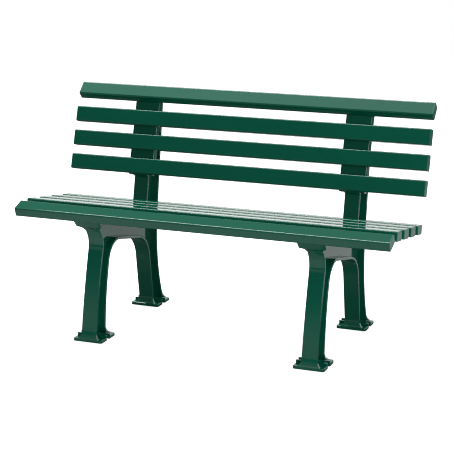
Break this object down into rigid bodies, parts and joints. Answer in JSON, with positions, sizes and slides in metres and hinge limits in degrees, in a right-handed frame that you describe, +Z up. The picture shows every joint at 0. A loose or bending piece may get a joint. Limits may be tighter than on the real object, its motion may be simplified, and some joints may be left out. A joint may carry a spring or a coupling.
{
  "type": "garden bench",
  "caption": "Slatted outdoor bench with a reclined back; hollow slats with end caps are screwed to cast I-section end frames on slotted feet.",
  "frame": {"origin": "on the ground, midway between the end frames and midway between front and back", "axes": "+X along the slats, to the right of someone who faces the bench from its front; +Y to the rear; +Z up"},
  "size_m": [1.2, 0.5442, 0.7363],
  "materials": {
    "frame_coating": "gloss",
    "slat_plastic": "gloss",
    "cap_plastic": "gloss",
    "fastener_steel": "plain"
  },
  "bodies": {
    "root": {"end_frame_left": "frame_coating", "end_frame_right": "frame_coating", "seat_slat_1": "slat_plastic", "seat_cap_1_left": "cap_plastic", "seat_cap_1_right": "cap_plastic", "seat_slat_2": "slat_plastic", "seat_cap_2_left": "cap_plastic", "seat_cap_2_right": "cap_plastic", "seat_slat_3": "slat_plastic", "seat_cap_3_left": "cap_plastic", "seat_cap_3_right": "cap_plastic", "seat_slat_4": "slat_plastic", "seat_cap_4_left": "cap_plastic", "seat_cap_4_right": "cap_plastic", "seat_slat_5": "slat_plastic", "seat_cap_5_left": "cap_plastic", "seat_cap_5_right": "cap_plastic", "back_slat_1": "slat_plastic", "back_cap_1_left": "cap_plastic", "back_cap_1_right": "cap_plastic", "back_slat_2": "slat_plastic", "back_cap_2_left": "cap_plastic", "back_cap_2_right": "cap_plastic", "back_slat_3": "slat_plastic", "back_cap_3_left": "cap_plastic", "back_cap_3_right": "cap_plastic", "back_slat_4": "slat_plastic", "back_cap_4_left": "cap_plastic", "back_cap_4_right": "cap_plastic", "seat_washers_left": "fastener_steel", "seat_screws_left": "fastener_steel", "back_washers_left": "fastener_steel", "back_screws_left": "fastener_steel", "seat_washers_right": "fastener_steel", "seat_screws_right": "fastener_steel", "back_washers_right": "fastener_steel", "back_screws_right": "fastener_steel"}
  },
  "joints": []
}
